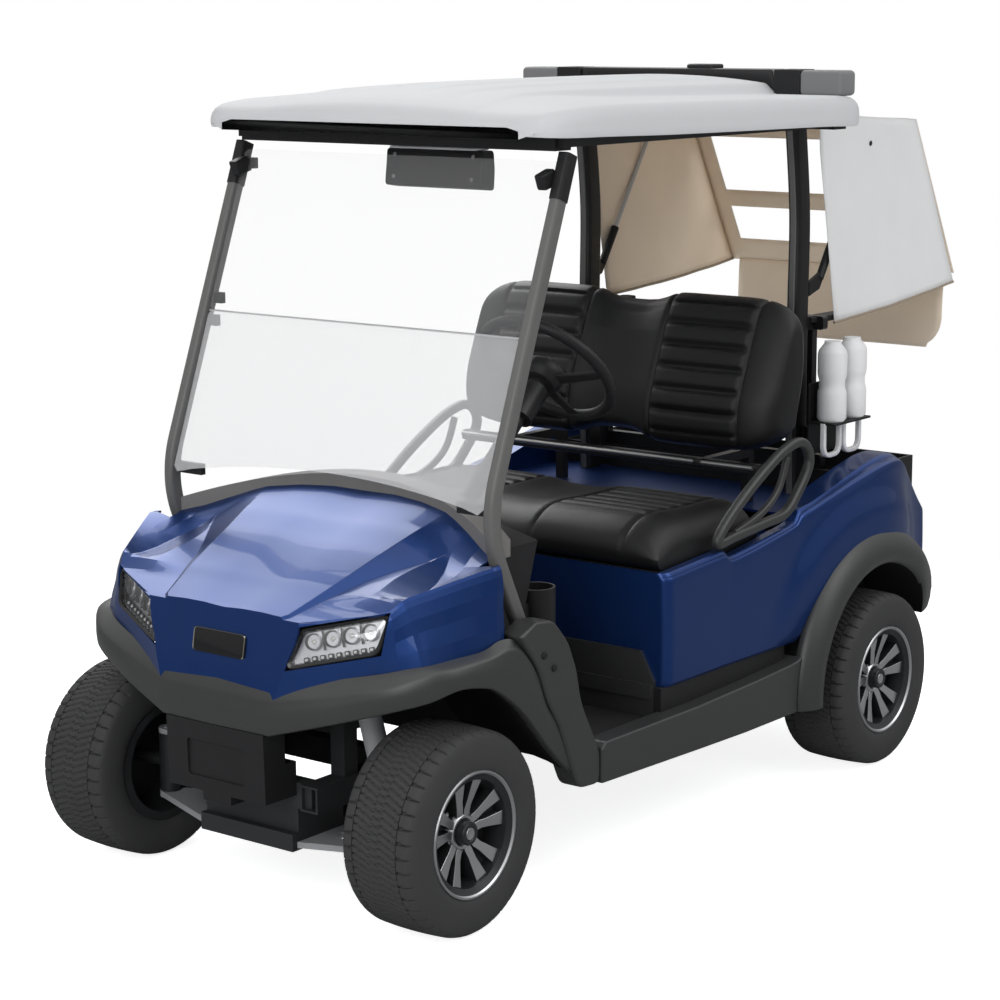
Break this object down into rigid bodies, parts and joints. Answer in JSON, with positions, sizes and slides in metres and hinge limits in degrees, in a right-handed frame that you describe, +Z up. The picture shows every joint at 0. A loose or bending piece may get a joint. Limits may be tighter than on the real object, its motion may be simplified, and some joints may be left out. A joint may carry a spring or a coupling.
{
  "type": "electric golf cart",
  "caption": "Electric golf cart with a roof, folding windshield, bench seat, bag well under a cloth cover and steered front wheels.",
  "frame": {"origin": "on the ground, under the middle of the whole cart", "axes": "+X forward, +Y to the driver's side (left), +Z up"},
  "size_m": [2.6765, 1.251, 1.8238],
  "materials": {
    "body_blue": "metallic blue paint under clear coat",
    "trim_grey": "dark grey textured plastic",
    "brow_grey": "warm grey satin plastic",
    "black_plastic": "black fine-grained plastic",
    "black_metal": "satin black powder coat",
    "strut_grey": "satin dark grey paint",
    "arm_grey": "light grey paint",
    "frame_metal": "mill aluminium",
    "tyre": "matte black rubber",
    "rim": "machined faces, dark pockets",
    "steel": "bare steel",
    "seat_vinyl": "black grained vinyl",
    "roof_white": "off-white moulded roof",
    "cover_cloth": "white coated cloth, beige inside",
    "clear_plastic": "clear sheet",
    "lamp_lens": "clear lamp lens",
    "lamp_body": "black lamp housing",
    "tail_red": "red lens",
    "bottle_white": "white plastic",
    "floor_mat": "ribbed black mat"
  },
  "bodies": {
    "chassis": {"front_cowl": "body_blue", "rear_body": "body_blue", "front_fender": "trim_grey", "rear_flares": "trim_grey", "sills": "trim_grey", "foot_covers": "trim_grey", "bumper_box": "black_plastic", "nose_plate": "black_plastic", "headlamp_housings": "lamp_body", "headlamp_lenses": "lamp_lens", "cowl_brow": "brow_grey", "dashboard": "black_plastic", "floor_pan": "floor_mat", "kick_panel": "trim_grey", "frame": "frame_metal", "front_suspension": "arm_grey", "rear_axle": "black_metal", "rear_springs": "steel", "battery_pack": "black_plastic", "front_struts": "strut_grey", "rear_struts": "black_metal", "roof_canopy": "roof_white", "roof_frame": "black_metal", "roof_bar": "black_plastic", "dash_display": "black_plastic", "windshield_lower": "clear_plastic", "windshield_upper": "clear_plastic", "windshield_clips": "black_plastic", "steering_column": "black_metal", "pedals": "black_metal", "seat_hinges": "steel", "seat_back": "seat_vinyl", "seat_back_frame": "black_metal", "hip_restraints": "trim_grey", "bag_well": "black_plastic", "bag_frame": "black_metal", "bag_cover": "cover_cloth", "bottle_holder": "black_plastic", "sand_bottles": "bottle_white", "rear_bumper": "black_plastic", "tail_lamps": "tail_red"},
    "seat": {"seat_base": "black_plastic", "seat_cushion": "seat_vinyl"},
    "steering_wheel": {"steering_wheel": "black_plastic"},
    "knuckle_left": {"knuckle_left": "steel"},
    "knuckle_right": {"knuckle_right": "steel"},
    "tie_rod": {"tie_rod": "steel"},
    "wheel_fl": {"rim_fl": "rim", "tyre_fl": "tyre"},
    "wheel_fr": {"rim_fr": "rim", "tyre_fr": "tyre"},
    "wheel_rl": {"rim_rl": "rim", "tyre_rl": "tyre"},
    "wheel_rr": {"rim_rr": "rim", "tyre_rr": "tyre"}
  },
  "joints": [
    {"name": "steer_left", "type": "hinge", "parent": "chassis", "child": "knuckle_left", "pos_m": [1.10875, 0.362, 0.23], "axis": [0, 0, 1], "range_deg": [-30, 30]},
    {"name": "steer_right", "type": "hinge", "parent": "chassis", "child": "knuckle_right", "pos_m": [1.10875, -0.362, 0.23], "axis": [0, 0, 1], "range_deg": [-30, 30]},
    {"name": "tie_rod_pivot", "type": "hinge", "parent": "knuckle_left", "child": "tie_rod", "pos_m": [1.02375, 0.362, 0.22], "axis": [0, 0, 1], "range_deg": [-30, 30]},
    {"name": "steering_wheel_turn", "type": "hinge", "parent": "chassis", "child": "steering_wheel", "pos_m": [0.45675, 0.262, 1.14], "axis": [-0.7431, 0, 0.6691], "range_deg": [-450, 450]},
    {"name": "seat_lift", "type": "hinge", "parent": "chassis", "child": "seat", "pos_m": [-0.11525, 0, 0.66], "axis": [0, -1, 0], "range_deg": [0, 45]},
    {"name": "wheel_fl_roll", "type": "hinge", "parent": "knuckle_left", "child": "wheel_fl", "pos_m": [1.10875, 0.462, 0.2295], "axis": [0, 1, 0], "continuous": true},
    {"name": "wheel_fr_roll", "type": "hinge", "parent": "knuckle_right", "child": "wheel_fr", "pos_m": [1.10875, -0.462, 0.2295], "axis": [0, 1, 0], "continuous": true},
    {"name": "wheel_rl_roll", "type": "hinge", "parent": "chassis", "child": "wheel_rl", "pos_m": [-0.55525, 0.523, 0.2295], "axis": [0, 1, 0], "continuous": true},
    {"name": "wheel_rr_roll", "type": "hinge", "parent": "chassis", "child": "wheel_rr", "pos_m": [-0.55525, -0.523, 0.2295], "axis": [0, 1, 0], "continuous": true}
  ],
  "couplings": [
    {"joint": "steer_right", "follows": "steer_left", "ratio": 1},
    {"joint": "tie_rod_pivot", "follows": "steer_left", "ratio": -1},
    {"joint": "steering_wheel_turn", "follows": "steer_left", "ratio": 15}
  ]
}
